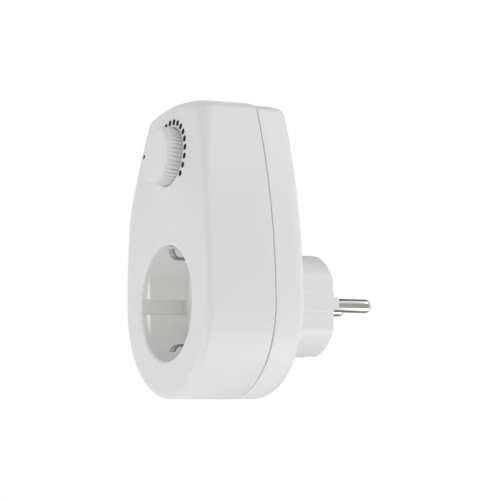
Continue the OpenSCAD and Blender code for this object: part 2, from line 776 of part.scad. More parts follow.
module heat_sink_screw() {
    head_r = 2.6;
    head_h = 1.8;
    nut_r = 2.9;
    nut_h = 2;
    past_nut = 0.4;
    color(metal_colour) on_panel() translate([0, tab_hole_up, triac_s]) rotate([0, 90, 0]) {
        translate([0, 0, sink_x - tab_t - head_h]) cylinder(h = head_h, r = head_r);
        translate([0, 0, sink_x - tab_t - eps])
            cylinder(h = eps + tab_t + sink_t + nut_h + past_nut, r = tab_screw_r);
        translate([0, 0, sink_x + sink_t]) cylinder(h = nut_h, r = nut_r, $fn = 6);
    }
}
choke_flange_t = 1.4;
choke_hub_r = 3;
module choke_core() {
    color("#33363a") on_panel() translate([choke_at[0], 0, choke_at[1]]) turn_y([
        [0, board_back], [choke_r, board_back], [choke_r, board_back + choke_flange_t],
        [choke_hub_r, board_back + choke_flange_t], [choke_hub_r, board_back + choke_h - choke_flange_t],
        [choke_r, board_back + choke_h - choke_flange_t], [choke_r, board_back + choke_h],
        [0, board_back + choke_h]
    ]);
}
module choke_winding() {
    winding_r = choke_r - 0.6;
    color("#a8642c") on_panel() translate([choke_at[0], 0, choke_at[1]]) turn_y([
        [choke_hub_r + slip, board_back + choke_flange_t], [winding_r, board_back + choke_flange_t],
        [winding_r, board_back + choke_h - choke_flange_t],
        [choke_hub_r + slip, board_back + choke_h - choke_flange_t]
    ]);
}
module board_block(at, size) {
    on_panel() translate([at[0] - size[0] / 2, board_back, at[1] - size[2] / 2]) cube(size);
}
module film_capacitor() {
    color("#c9b23a") board_block(film_at, film_size);
}
module timing_capacitor() {
    color("#b5462f") board_block(timing_at, timing_size);
}
fuse_cap_l = 5;
module along_fuse(from, to, r) {
    on_panel() translate([fuse_x, board_back + fuse_up, fuse_s + from]) cylinder(h = to - from, r = r);
}
module fuse() {
    glass_r = fuse_r - 0.2;
    color("#d9dde0") {
        along_fuse(-fuse_l / 2, fuse_l / 2, glass_r);
        along_fuse(-fuse_l / 2, fuse_cap_l - fuse_l / 2, fuse_r);
        along_fuse(fuse_l / 2 - fuse_cap_l, fuse_l / 2, fuse_r);
    }
}
module fuse_clips() {
    clip_l = 3;
    grip = 1;
    color(brass_colour) for (s = [-1, 1]) difference() {
        on_panel() translate([fuse_x, board_back, fuse_s + s * (fuse_l - fuse_cap_l) / 2])
            box([-fuse_r - fuse_clip_t, 0, -clip_l / 2], [fuse_r + fuse_clip_t, fuse_up + grip, clip_l / 2]);
        along_fuse(-fuse_l, fuse_l, fuse_r + snug);
    }
}
module resistors() {
    body_r = 1.2;
    body_l = 6;
    lead_r = 0.3;
    color("#c8b48a") on_panel() for (s = resistor_s) translate([resistor_x, board_back, s]) {
        translate([0, body_r, 0]) rotate([0, 90, 0]) cylinder(h = body_l, r = body_r);
        for (x = [-resistor_lead, body_l + resistor_lead - 2 * lead_r])
            box([x, 0, -lead_r], [x + 2 * lead_r, body_r + lead_r, lead_r]);
        translate([-resistor_lead, body_r, 0]) rotate([0, 90, 0])
            cylinder(h = body_l + 2 * resistor_lead, r = lead_r);
    }
}

// Brass bars: each is a bent strip from a pin or contact up to the board
rise_back = 2;
y_rise = y_part + rise_back;
module board_tab() {
    on_panel() box([-bar_w / 2, board_back, bar_tab_s[0]], [bar_w / 2, board_back + bar_t, bar_tab_s[1]]);
}
tab_mid = (bar_tab_s[0] + bar_tab_s[1]) / 2;
tab_y = knob_y + (board_back + bar_t / 2) * cos(tilt) + tab_mid * sin(tilt);
tab_z = knob_z - (board_back + bar_t / 2) * sin(tilt) + tab_mid * cos(tilt);
riser = [[y_rise, bar_run_z], [y_rise, tab_z], [tab_y, tab_z]];
module board_bar(foot) {
    color(brass_colour) {
        bent_strip(concat(foot, riser), bar_t, bar_w);
        board_tab();
    }
}
y_pin_bar = -pin_tail - bar_t / 2;
y_tail_bar = y_contact_end + bar_t / 2;
tail_foot = leaf_gap + leaf_t + 1;
module live_bar() {
    translate([bar_x, 0, 0]) board_bar([[y_pin_bar, -pin_r], [y_pin_bar, bar_run_z]]);
}
module load_bar() {
    translate([-bar_x, 0, 0]) board_bar([[y_tail_bar, tail_foot], [y_tail_bar, bar_run_z]]);
}
module neutral_bar() {
    run_z = -bar_run_z;
    color(brass_colour) {
        translate([-bar_x, 0, 0]) bent_strip([[y_pin_bar, pin_r], [y_pin_bar, run_z]], bar_t, bar_w);
        box([-bar_x - bar_w / 2, -pin_tail - bar_t, run_z], [bar_x + bar_w / 2, -pin_tail, run_z + bar_w]);
        translate([bar_x, 0, 0])
            bent_strip([[y_pin_bar, run_z + bar_w], [y_pin_bar, run_z], [y_tail_bar, run_z],
                [y_tail_bar, -tail_foot]], bar_t, bar_w);
    }
}

module housing_screws() {
    cross = [0.4, 1.7];
    color(metal_colour) for (b = bosses) translate([b[0], 0, b[1]]) difference() {
        union() {
            rod_y(screw_r, y_screw_seat - screw_l, y_screw_seat + eps);
            rod_y(screw_head_r, y_screw_seat, y_screw_seat + screw_head_h);
        }
        for (a = [0, 90]) rotate([0, a, 0])
            box([-cross[0], y_screw_seat + screw_head_h / 3, -cross[1]],
                [cross[0], y_screw_seat + screw_head_h + 1, cross[1]]);
    }
}

front_shell();
rear_cover();
socket_insert();
plug_body();
plug_pin_live();
plug_pin_neutral();
earth_clip();
plug_earth_strap();
earth_rivet();
contact_load();
contact_neutral();
dimmer_knob();
knob_pointer();
pot_shaft();
pot_case();
pot_terminals();
circuit_board();
board_screws();
triac();
heat_sink();
heat_sink_screw();
choke_core();
choke_winding();
film_capacitor();
timing_capacitor();
fuse();
fuse_clips();
resistors();
live_bar();
load_bar();
neutral_bar();
insert_screws();
housing_screws();
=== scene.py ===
import json
import math

import bmesh
import bpy
import numpy as np
from mathutils import Matrix, Vector


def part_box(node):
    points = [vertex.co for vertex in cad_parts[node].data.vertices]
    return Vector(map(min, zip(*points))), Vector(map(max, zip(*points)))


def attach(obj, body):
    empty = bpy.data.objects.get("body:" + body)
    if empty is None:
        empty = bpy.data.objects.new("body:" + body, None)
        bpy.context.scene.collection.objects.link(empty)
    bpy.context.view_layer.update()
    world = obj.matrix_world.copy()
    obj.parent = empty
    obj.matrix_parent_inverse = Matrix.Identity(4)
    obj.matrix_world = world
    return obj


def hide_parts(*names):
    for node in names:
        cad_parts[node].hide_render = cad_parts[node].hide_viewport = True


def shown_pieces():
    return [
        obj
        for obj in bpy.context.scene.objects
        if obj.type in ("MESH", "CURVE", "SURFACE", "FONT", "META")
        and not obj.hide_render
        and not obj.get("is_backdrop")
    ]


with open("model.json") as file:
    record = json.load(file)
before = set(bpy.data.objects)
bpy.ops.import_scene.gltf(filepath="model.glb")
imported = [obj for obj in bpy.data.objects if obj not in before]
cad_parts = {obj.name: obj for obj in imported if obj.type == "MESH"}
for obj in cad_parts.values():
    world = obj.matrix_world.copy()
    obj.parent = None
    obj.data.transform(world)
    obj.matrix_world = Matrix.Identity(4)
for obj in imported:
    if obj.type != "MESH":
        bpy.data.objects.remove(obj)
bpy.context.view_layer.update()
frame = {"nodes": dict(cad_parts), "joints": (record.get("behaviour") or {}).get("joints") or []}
mm = 0.001
weldGap = 0.002 * mm
filletSteps = 6
print("stage: frame loaded")

# Main places in the shared frame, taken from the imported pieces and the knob's joint
shellLow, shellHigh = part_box("front_shell")
_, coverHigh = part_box("rear_cover")
_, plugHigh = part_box("plug_body")
frontY, partY, backY, faceEndY = shellLow.y, shellHigh.y, coverHigh.y, plugHigh.y
halfWidth, crestZ = shellHigh.x, shellHigh.z
turn = frame["joints"][0]
knobCentre = np.array(turn["pos_m"])
outward = np.array(turn["axis"])
across = np.array([1.0, 0.0, 0.0])
upward = np.cross(outward, across)
tilt = math.atan2(outward[2], -outward[1])


# Points round an axis along Y through a centre
def aboutY(radius, angle, y, centre=(0.0, 0.0)):
    radius, angle, y = np.broadcast_arrays(radius, angle, y)
    return np.stack([centre[0] + radius * np.cos(angle), y, centre[1] + radius * np.sin(angle)], -1)


# Points of a disc in the plane of the knob's leaning panel
def leaning(radius, angle):
    return (radius * np.cos(angle))[..., None] * across + (radius * np.sin(angle))[..., None] * upward


# Points round the knob's axis, sunk below its panel by a depth
def onPanel(radius, angle, depth):
    radius, angle, depth = np.broadcast_arrays(radius, angle, depth)
    return knobCentre + leaning(radius, angle) - depth[..., None] * outward


# Faces between neighbouring points of a grid
def quads(index):
    corners = [index[:-1, :-1], index[:-1, 1:], index[1:, 1:], index[1:, :-1]]
    return np.stack(corners, -1).reshape(-1, 4)


def addObject(name, data):
    thing = bpy.data.objects.new(name, data)
    bpy.context.scene.collection.objects.link(thing)
    return thing


# One closed mesh from grids of points (rows x columns x 3) whose columns run round in a loop
def weld(name, grids, sharp=40):
    points, faces, base = [], [], 0
    for grid in grids:
        rows, columns = grid.shape[:2]
        index = base + np.arange(rows * columns).reshape(rows, columns)
        faces.append(quads(np.concatenate([index, index[:, :1]], 1)))
        points.append(grid.reshape(-1, 3))
        base += rows * columns
    mesh = bpy.data.meshes.new(name)
    mesh.from_pydata(np.concatenate(points).tolist(), [], np.concatenate(faces).tolist())
    work = bmesh.new()
    work.from_mesh(mesh)
    bmesh.ops.remove_doubles(work, verts=work.verts, dist=weldGap)
    bmesh.ops.recalc_face_normals(work, faces=work.faces)
    work.to_mesh(mesh)
    work.free()
    mesh.polygons.foreach_set("use_smooth", np.ones(len(mesh.polygons), bool))
    mesh.set_sharp_from_angle(angle=math.radians(sharp))
    return addObject(name, mesh)


# A grid from flat loops of (x, z), each lifted to its own y
def stacked(rows):
    return np.stack([np.column_stack([flat[:, 0], np.full(len(flat), y), flat[:, 1]]) for flat, y in rows])


# A face from a loop in to a round hole, down the hole's profile and out again along the inner side.
# Rays from the hole's centre join each loop point to the hole, so both ends keep the same columns.
def holedFace(outer, inner, centre, hole, place, outerY, innerY, rows, squash=1.0, drop=0.0):
    away = outer - np.array(centre)
    angle = np.arctan2(away[:, 1] / squash, away[:, 0])
    rays = np.column_stack([np.cos(angle), squash * np.sin(angle)])
    t = np.linspace(0, 1, rows + 1)[:, None, None]
    face = outer + (centre + hole[0][0] * rays - outer) * t
    back = inner + (centre - np.array([0, drop]) + hole[-1][0] * rays - inner) * t[::-1]
    walls = np.stack([place(radius, angle, depth) for radius, depth in hole])
    lifted = []
    for flat, y in ((face, outerY), (back, innerY)):
        lifted.append(np.stack([flat[..., 0], y(flat[..., 1]), flat[..., 1]], -1))
    return np.concatenate([lifted[0], walls, lifted[1]])


# Places a hole's profile below a flat face at y; into is 1 or -1, the way in along Y
def sunk(y, into, centre=(0.0, 0.0)):
    return lambda radius, angle, depth: aboutY(radius, angle, y + into * depth, centre)


def level(y):
    return lambda z: np.full(np.shape(z), y)


def bridge(a, b, count=40):
    return a + (b - a) * np.linspace(0, 1, count + 2)[1:-1, None]


def arc(centre, radius, start, stop, count):
    angle = np.linspace(start, stop, count + 1)
    return np.array(centre) + radius * np.column_stack([np.cos(angle), np.sin(angle)])


# A share from 0 to 1 with a soft start and end
def eased(share):
    share = np.clip(share, 0, 1)
    return share * share * (3 - 2 * share)


# Quarter roundings as (inwards, down) steps of a circle, from the flat face to the side
def quarter(radius, count):
    angles = np.linspace(0, math.pi / 2, count + 1)
    return [(radius * (1 - math.sin(a)), radius * (1 - math.cos(a))) for a in angles]


# A hole's rounded mouth as (radius, depth) steps, from the face down to the hole's own radius
def mouth(radius, edge, count):
    return [(radius + out, down) for out, down in quarter(edge, count)]


# A path with its marked corners turned into arcs that touch both sides
def filleted(points, radii):
    done = []
    for i, (point, radius) in enumerate(zip(points, radii)):
        point = np.array(point, float)
        if not radius:
            done.append(point[None])
            continue
        a, b = np.array(points[i - 1], float) - point, np.array(points[i + 1], float) - point
        a, b = a / np.linalg.norm(a), b / np.linalg.norm(b)
        half = math.acos(np.clip(a @ b, -1, 1)) / 2
        centre = point + (a + b) / np.linalg.norm(a + b) * radius / math.sin(half)
        first, last = point + a * radius / math.tan(half), point + b * radius / math.tan(half)
        start = math.atan2(*(first - centre)[::-1])
        sweep = math.remainder(math.atan2(*(last - centre)[::-1]) - start, 2 * math.pi)
        done.append(arc(centre, radius, start, start + sweep, filletSteps))
    return np.concatenate(done)


# Right half of a section, from the bottom's middle to the top's, mirrored to a whole loop
def mirrored(half):
    half[[0, -1], 0] = 0
    return np.concatenate([half, half[-2:0:-1] * [-1, 1]])


# Housing: tangent arcs make the outline, and the front leans back above a soft fold
housing = {
    "sideRadius": 187 * mm, "archRadius": 61 * mm, "cornerRadius": 4 * mm, "leastCorner": 0.2 * mm,
    "steps": (56, 44, 14, 26), "roundSteps": 12, "sideRows": 7, "coverRows": 4,
    "foldZ": 32.4 * mm, "blend": 4 * mm, "splitZ": 34 * mm, "topSplitZ": 44 * mm,
    "edge": (2.4 * mm, 2.4 * mm), "topEdge": (3.6 * mm, 9.4 * mm), "softZ": 38 * mm,
    "wall": 2.4 * mm, "partEdge": 0.3 * mm, "backEdge": (3.2 * mm, 4 * mm),
    "rim": 20.12 * mm, "lip": 1.2 * mm,
    "well": 10.42 * mm, "wellDepth": 1 * mm, "wellEdge": 0.2 * mm, "wellFloor": 2 * mm, "bush": 4 * mm,
    "step": (0.6 * mm, 0.1 * mm), "slit": (0.6 * mm, (1.6 * mm, 0.4 * mm)),
    "screws": 25.2 * mm, "topScrewZ": 63.2 * mm, "seat": 2.95 * mm, "seatDepth": 6 * mm,
    "shank": 1.6 * mm, "boss": 3.7 * mm, "mouth": 0.3 * mm, "slip": 0.15 * mm,
}


def circlesMeet(a, ra, b, rb):
    gap = np.linalg.norm(b - a)
    along = (gap**2 + ra**2 - rb**2) / (2 * gap)
    unit = (b - a) / gap
    return a + along * unit + math.sqrt(ra**2 - along**2) * np.array([-unit[1], unit[0]])


sideCentre = np.array([halfWidth - housing["sideRadius"], 0])
archCentre = np.array([0, crestZ - housing["archRadius"]])
cornerCentre = circlesMeet(
    sideCentre, housing["sideRadius"] - housing["cornerRadius"],
    archCentre, housing["archRadius"] - housing["cornerRadius"])
sideEnd = math.atan2(*(cornerCentre - sideCentre)[::-1])
cornerEnd = math.atan2(*(cornerCentre - archCentre)[::-1])


# The outline moved inwards: a round bottom, long side arcs, small corners and a flat arch on top
def outline(inset):
    h = housing
    bottom, side, corner, arch = h["steps"]
    cornerRadius = max(h["cornerRadius"] - inset, h["leastCorner"])
    return mirrored(np.concatenate([
        arc((0, 0), halfWidth - inset, -math.pi / 2, 0, bottom)[:-1],
        arc(sideCentre, h["sideRadius"] - inset, 0, sideEnd, side)[:-1],
        arc(cornerCentre, cornerRadius, sideEnd, cornerEnd, corner)[:-1],
        arc(archCentre, h["archRadius"] - inset, cornerEnd, math.pi / 2, arch)]))


# The rear cover's outline lies a step further in, which fades towards the bottom, as the slit's depth does
def coverOutline(inset):
    high, low = np.add(housing["step"], inset)
    share = eased(-outline(0)[:, 1:] / halfWidth)
    return outline(high) * (1 - share) + outline(low) * share


# The front's rounding widens and deepens with the square of the height, up to the crest
def edgeShare(z):
    return np.clip((z - housing["softZ"]) / (crestZ - housing["softZ"]), 0, 1) ** 2


def edgeDepth(z):
    plain, soft = housing["edge"][1], housing["topEdge"][1]
    return plain + (soft - plain) * edgeShare(z)


def frontOutline(inset):
    plain, soft = housing["edge"][0], housing["topEdge"][0]
    share = edgeShare(outline(0)[:, 1:])
    return outline(plain * inset) * (1 - share) + outline(soft * inset) * share


def ring(inset, y, shape=outline):
    flat = shape(inset)
    return np.column_stack([flat[:, 0], y(flat[:, 1]), flat[:, 1]])


# The front is upright below the fold, leans by the tilt above it, and a parabola blends the two
def faceY(z):
    u, b = z - housing["foldZ"], housing["blend"]
    return frontY + math.tan(tilt) * np.where(u < -b, 0, np.where(u > b, u, (u + b) ** 2 / (4 * b)))


def innerFaceY(z):
    return faceY(z) + housing["wall"]


# Front shell: rings run from the face's edge back to the parting line and in again along the wall.
# A cut across the face makes two cells, with the socket's opening below and the knob's well above.
def buildFrontShell():
    h = housing
    wall, edge = h["wall"], h["partEdge"]
    skin = []
    for inset, down in quarter(1, h["roundSteps"]):
        skin.append(ring(inset, lambda z: faceY(z) + edgeDepth(z) * down, frontOutline))
    for t in np.linspace(0, 1, h["sideRows"] + 1)[1:]:
        skin.append(ring(0, lambda z: (faceY(z) + edgeDepth(z)) * (1 - t) + (partY - edge) * t))
    for inset, down in quarter(edge, count=4)[::-1]:
        skin.append(ring(inset, level(partY - down)))
    skin += [ring(wall, level(partY)), ring(wall, innerFaceY)]
    outer, inner = frontOutline(1), outline(wall)
    size = len(outer)
    cut = int(np.argmax(outer[: size // 2, 1] >= h["splitZ"]))
    low, high = [], []
    for loop in (outer, inner):
        right, left = loop[cut], loop[size - cut]
        low.append(np.concatenate([loop[np.arange(-cut, cut + 1)], bridge(right, left)]))
        high.append(np.concatenate([loop[cut:size - cut + 1], bridge(left, right)]))
    lip = mouth(h["rim"], h["lip"], count=10) + [(h["rim"], wall)]
    socketFace = holedFace(*low, (0, 0), lip, sunk(frontY, 1), faceY, innerFaceY, rows=26)
    back, thick = h["wellDepth"] + h["wellFloor"], wall * math.cos(tilt)
    well = mouth(h["well"], h["wellEdge"], count=4)
    well += [(h["well"], h["wellDepth"]), (h["bush"], h["wellDepth"]), (h["bush"], back)]
    well += [(h["well"] + wall, back), (h["well"] + wall, thick)]
    knobFace = holedFace(
        *high, (0, knobCentre[2]), well, onPanel, faceY, innerFaceY, rows=22,
        squash=math.cos(tilt), drop=thick * math.sin(tilt))
    return weld("frontShell", [np.stack(skin), socketFace, knobFace])


# Rear cover: rings run from the back's rounded edge to the slit at the parting line and in along the wall.
# The back is cut into four cells: one with the plug's hole and three with a screw's seat and its boss.
def buildRearCover():
    h = housing
    wall, edge = h["wall"], h["partEdge"]
    wide, deep = h["backEdge"]
    slit, reach = h["slit"]
    rows = [(wide * inset, backY - deep * down) for inset, down in quarter(1, h["roundSteps"])]
    for t in np.linspace(0, 1, h["coverRows"] + 1)[1:]:
        rows.append((0, (backY - deep) * (1 - t) + (partY + slit + edge) * t))
    rows += [(inset, partY + slit + down) for inset, down in quarter(edge, count=4)[::-1]]
    rows += [(reach, partY + slit), (reach, partY), (wall, partY), (wall, backY - wall)]
    faces = [np.stack([ring(inset, level(y), coverOutline) for inset, y in rows])]
    outer, inner = coverOutline(wide), coverOutline(wall)
    size, side = len(outer), h["steps"][0]
    top = int(np.argmax(outer[: size // 2, 1] >= h["topSplitZ"]))
    other, otherTop = size - side, size - top
    cells = [[], [], [], []]
    for loop in (outer, inner):
        cells[0].append(np.concatenate([
            loop[side:top + 1], bridge(loop[top], loop[otherTop]), loop[otherTop:other + 1],
            bridge(loop[other], loop[0]), loop[:1], bridge(loop[0], loop[side])]))
        cells[1].append(np.concatenate([loop[:side + 1], bridge(loop[side], loop[0])]))
        cells[2].append(np.concatenate([loop[np.arange(-side, 1)], bridge(loop[0], loop[other])]))
        cells[3].append(np.concatenate([loop[top:otherTop + 1], bridge(loop[otherTop], loop[top])]))
    plugHole = plugHigh.z + h["slip"]
    through = mouth(plugHole, h["mouth"], count=4) + [(plugHole, wall)]
    seat = mouth(h["seat"], h["mouth"], count=4)
    seat += [(h["seat"], h["seatDepth"]), (h["shank"], h["seatDepth"]), (h["shank"], backY - partY)]
    seat += [(h["boss"], backY - partY), (h["boss"], wall)]
    slant = h["screws"] * math.sqrt(0.5)
    places = [(0, 0), (slant, -slant), (-slant, -slant), (0, h["topScrewZ"])]
    for loops, centre, hole in zip(cells, places, [through, seat, seat, seat]):
        faces.append(holedFace(
            *loops, centre, hole, sunk(backY, -1, centre), level(backY), level(backY - wall), rows=16))
    return weld("rearCover", faces)


frontShell = buildFrontShell()
rearCover = buildRearCover()
print("stage: housing built")

# Plug body: a round section with flats, low guide ribs and channels for the earth strips
plug = {
    "radius": 18.33 * mm, "flat": 16.1 * mm, "channel": (2.9 * mm, 15.6 * mm),
    "guide": (16.7 * mm, -2.9 * mm, -2.6 * mm, 2.9 * mm, 4.6 * mm),
    "corner": 0.8 * mm, "soft": 0.25 * mm, "ribCorner": 0.5 * mm, "steps": 15,
    "root": 1 * mm, "edge": (0.48 * mm, 0.7 * mm), "flange": (1.7 * mm, 1.5 * mm),
    "rowShares": (0.3, 0.6, 0.9, 1),
    "key": ((15.2 * mm, 16.6 * mm), (-2 * mm, 2.5 * mm), 2 * mm, 0.4 * mm), "keyPoints": 40,
    "bore": (15.3 * mm, 13.5 * mm), "face": 3 * mm,
    "pinX": 9.5 * mm, "pinHole": 2.65 * mm, "pinMouth": 0.2 * mm,
}


# The root is a full circle, on which the channel's points are spread evenly
def plugSection(isRoot):
    p = plug
    proud, foot, lowEdge, highEdge, head = p["guide"]
    half, floor = p["channel"]
    start, stop = -math.acos(half / p["radius"]), -math.acos(p["flat"] / p["radius"])
    belly = arc((0, 0), p["radius"], start, stop, p["steps"])
    side = [(p["flat"], foot), (proud, lowEdge), (proud, highEdge), (p["flat"], head)]
    points = [(0, -floor), (half, -floor), *belly, *side]
    points += [*(belly[::-1] * [1, -1]), (half, floor), (0, floor)]
    plain = [0] * p["steps"]
    radii = [0, p["soft"], p["corner"], *plain, p["ribCorner"], p["ribCorner"], p["corner"], p["corner"]]
    radii += [*plain, p["corner"], p["soft"], 0]
    section = filleted(points, radii)
    if isRoot:
        angle = np.arctan2(section[:, 1], section[:, 0])
        inChannel = 1 + 2 * (filletSteps + 1)
        angle[:inChannel] = np.linspace(-math.pi / 2, angle[inChannel], inChannel + 1)[:-1]
        angle[-inChannel:] = -angle[:inChannel][::-1]
        section = p["radius"] * np.column_stack([np.cos(angle), np.sin(angle)])
    return mirrored(section)


# A loop moved inwards along its own normals
def shrunk(loop, inset):
    along = np.roll(loop, -1, 0) - np.roll(loop, 1, 0)
    along /= np.linalg.norm(along, axis=1)[:, None]
    return loop + inset * np.column_stack([-along[:, 1], along[:, 0]])


# An end face at y in two halves, each with a pin's hole; into is the way in along Y
def pinFaces(outer, inner, hole, y, into, thick):
    middle = len(outer) // 2
    faces = []
    for sign in (1, -1):
        loops = []
        for loop in (outer, inner):
            part = loop[:middle + 1] if sign > 0 else loop[np.arange(-middle, 1)]
            loops.append(np.concatenate([part, bridge(part[-1], part[0])]))
        centre = (sign * plug["pinX"], 0)
        faces.append(holedFace(
            *loops, centre, hole, sunk(y, into, centre), level(y), level(y + into * thick), rows=14))
    return faces


# Loops run from the end face's rounded edge to the root, round the flange and back inside the hollow
def buildPlugBody():
    p = plug
    section, root = plugSection(False), plugSection(True)
    angle = np.linspace(-math.pi / 2, math.pi / 2, len(section) // 2 + 1)
    hollow = np.column_stack([np.cos(angle), np.sin(angle)]) * p["bore"][0]
    hollow[:, 1] = np.clip(hollow[:, 1], -p["bore"][1], p["bore"][1])
    hollow = mirrored(hollow)
    over, thick = p["flange"]
    collar = root * (1 + over / p["radius"])
    rootY, flangeY = backY + p["root"], backY - housing["wall"]
    wide, deep = p["edge"]
    rows = [(shrunk(section, wide * inset), faceEndY - deep * down) for inset, down in quarter(1, count=8)]
    rows += [(section, faceEndY * (1 - t) + rootY * t) for t in p["rowShares"]]
    rows += [(root, rootY), (root, flangeY), (collar, flangeY), (collar, flangeY - thick)]
    rows += [(hollow, flangeY - thick), (hollow, faceEndY - p["face"])]
    hole = mouth(p["pinHole"], p["pinMouth"], count=3) + [(p["pinHole"], p["face"])]
    return weld("plugBody", [stacked(rows), *pinFaces(rows[0][0], hollow, hole, faceEndY, -1, p["face"])])


# Rounded blocks that carry the guide ribs on past the plug's face: oblong rings from the foot to the end
def buildPlugKeys():
    (inner, outer), (low, high), reach, edge = plug["key"]
    middle = np.array([(inner + outer) / 2, (low + high) / 2])
    half = np.array([(outer - inner) / 2, (high - low) / 2])
    turns = np.linspace(0, 2 * math.pi, plug["keyPoints"], endpoint=False)
    within = turns + math.pi / plug["keyPoints"]
    quadrant = np.column_stack([np.sign(np.cos(within)), np.sign(np.sin(within))])
    corner = edge * np.column_stack([np.cos(turns), np.sin(turns)]) + quadrant * (half - edge)
    rows = [(0, -edge), (1, -edge)]
    rows += [(1 - inset / half.min(), reach - down) for inset, down in quarter(edge, count=6)[::-1]]
    rows.append((0, reach))
    blocks = []
    for sign in (1, -1):
        blocks.append(stacked([((middle + corner * share) * [sign, 1], faceEndY + y) for share, y in rows]))
    return weld("plugKeys", blocks, sharp=50)


plugBody = buildPlugBody()
plugKeys = buildPlugKeys()

# Socket liner: a round recess with flat pads, a groove between the pads and channels for the spring arms
socket = {
    "radius": 20 * mm, "pad": 17.3 * mm, "groove": 2.7 * mm, "channel": (3 * mm, 2.6 * mm, 20.75 * mm),
    "wallSteps": 22, "throatSteps": 10, "corner": 0.3 * mm, "blend": 0.8 * mm,
    "edge": 0.25 * mm, "floorEdge": 0.25 * mm, "draft": 0.12 * mm, "rowShares": (0.25, 0.5, 0.75),
    "padFade": 0.8 * mm, "wallBand": 0.4 * mm,
    "outside": 21.5 * mm, "mouth": 2.4 * mm, "depth": 17.5 * mm, "floor": 2.5 * mm,
    "hole": 2.7 * mm, "lead": 0.6 * mm,
    "earX": 24.7 * mm, "ear": 4 * mm, "earY": (11 * mm, 13.5 * mm), "earCosine": 0.9,
}
mouthY, floorY = frontY + socket["mouth"], frontY + socket["depth"]


def socketSection():
    s = socket
    wide, narrow, far = s["channel"]
    r, pad, groove = s["radius"], s["pad"], s["groove"]
    near = arc((0, 0), r, -math.acos(wide / r), -math.acos(pad / r), s["wallSteps"])
    throat = arc((0, 0), r, -math.asin(groove / r), math.asin(groove / r), s["throatSteps"])
    points = [(0, -far), (narrow, -far), *near, (pad, -groove), *throat, (pad, groove)]
    points += [*(near[::-1] * [1, -1]), (narrow, far), (0, far)]
    wallRadii = [s["corner"], *[0] * (s["wallSteps"] - 1), s["blend"]]
    throatRadii = [s["corner"], *[0] * (s["throatSteps"] - 1), s["corner"]]
    radii = [0, s["corner"], *wallRadii, s["corner"], *throatRadii, s["corner"]]
    radii += [*wallRadii[::-1], s["corner"], 0]
    return mirrored(filleted(points, radii))


# Distance of the outer side from the axis: a round tube, or the round-ended ears where they reach further
def earReach(angle):
    s = socket
    cosine, sine = np.abs(np.cos(angle)), np.abs(np.sin(angle))
    room = np.maximum(s["ear"] ** 2 - (s["earX"] * sine) ** 2, 0)
    onEnd = s["earX"] * sine < s["ear"] * cosine
    tiny = 1e-6
    reach = np.where(onEnd, s["earX"] * cosine + np.sqrt(room), s["ear"] / np.maximum(sine, tiny))
    return np.where(cosine > s["earCosine"], np.maximum(reach, s["outside"]), s["outside"])


# Loops run from the floor's rounded edge to the mouth, with a slight draft on the round wall and a
# rounding on the pads, and then back along the outer tube with its two screw ears
def buildSocketLiner():
    s = socket
    section = socketSection()
    angle = np.arctan2(section[:, 1], section[:, 0])
    rays = np.column_stack([np.cos(angle), np.sin(angle)])
    tube, eared = rays * s["outside"], rays * earReach(angle)[:, None]
    far = np.linalg.norm(section, axis=1)[:, None]
    onPad = np.clip((s["radius"] - far) / s["padFade"], 0, 1)
    spread = (np.abs(far - s["radius"]) < s["wallBand"]) * s["draft"] / s["radius"]
    rows = [(shrunk(section, inset), floorY - down) for inset, down in quarter(s["floorEdge"], count=5)]
    rows += [(section * (1 + t * spread), floorY * (1 - t) + mouthY * t) for t in s["rowShares"]]
    for inset, down in quarter(s["edge"], count=4)[::-1]:
        rounded = onPad * shrunk(section, -inset) + (1 - onPad) * section * (1 + spread)
        rows.append((rounded, mouthY + down))
    earLow, earHigh = np.add(s["earY"], frontY)
    rows += [(tube, mouthY), (tube, earLow), (eared, earLow)]
    rows += [(eared, earHigh), (tube, earHigh), (tube, floorY + s["floor"])]
    hole = [(s["hole"] + s["lead"], 0), (s["hole"], s["lead"]), (s["hole"], s["floor"])]
    floorFaces = pinFaces(rows[0][0], tube, hole, floorY, 1, s["floor"])
    return weld("socketLiner", [stacked(rows), *floorFaces], sharp=50)


socketLiner = buildSocketLiner()
print("stage: plug and socket built")

# Knob: a turned profile whose side is waved by soft flutes that fade at the front edge
knob = {
    "radius": 10.2 * mm, "height": 5.6 * mm, "back": 0.7 * mm, "edge": (1.5 * mm, 4 * mm),
    "rows": (8, 16, 12), "flutes": 42, "perFlute": 16, "fluteDepth": 0.7 * mm, "fluteShape": 3.5,
    "fade": 4.5 * mm, "skirt": 1.6 * mm, "faceThick": 1.6 * mm, "hub": 4.6 * mm, "bore": 3.05 * mm,
    "dish": 0.08 * mm, "pointerAngle": math.radians(178), "pointerAt": 8.5 * mm,
    "pointer": 0.75 * mm, "pointerLift": 0.03 * mm,
}


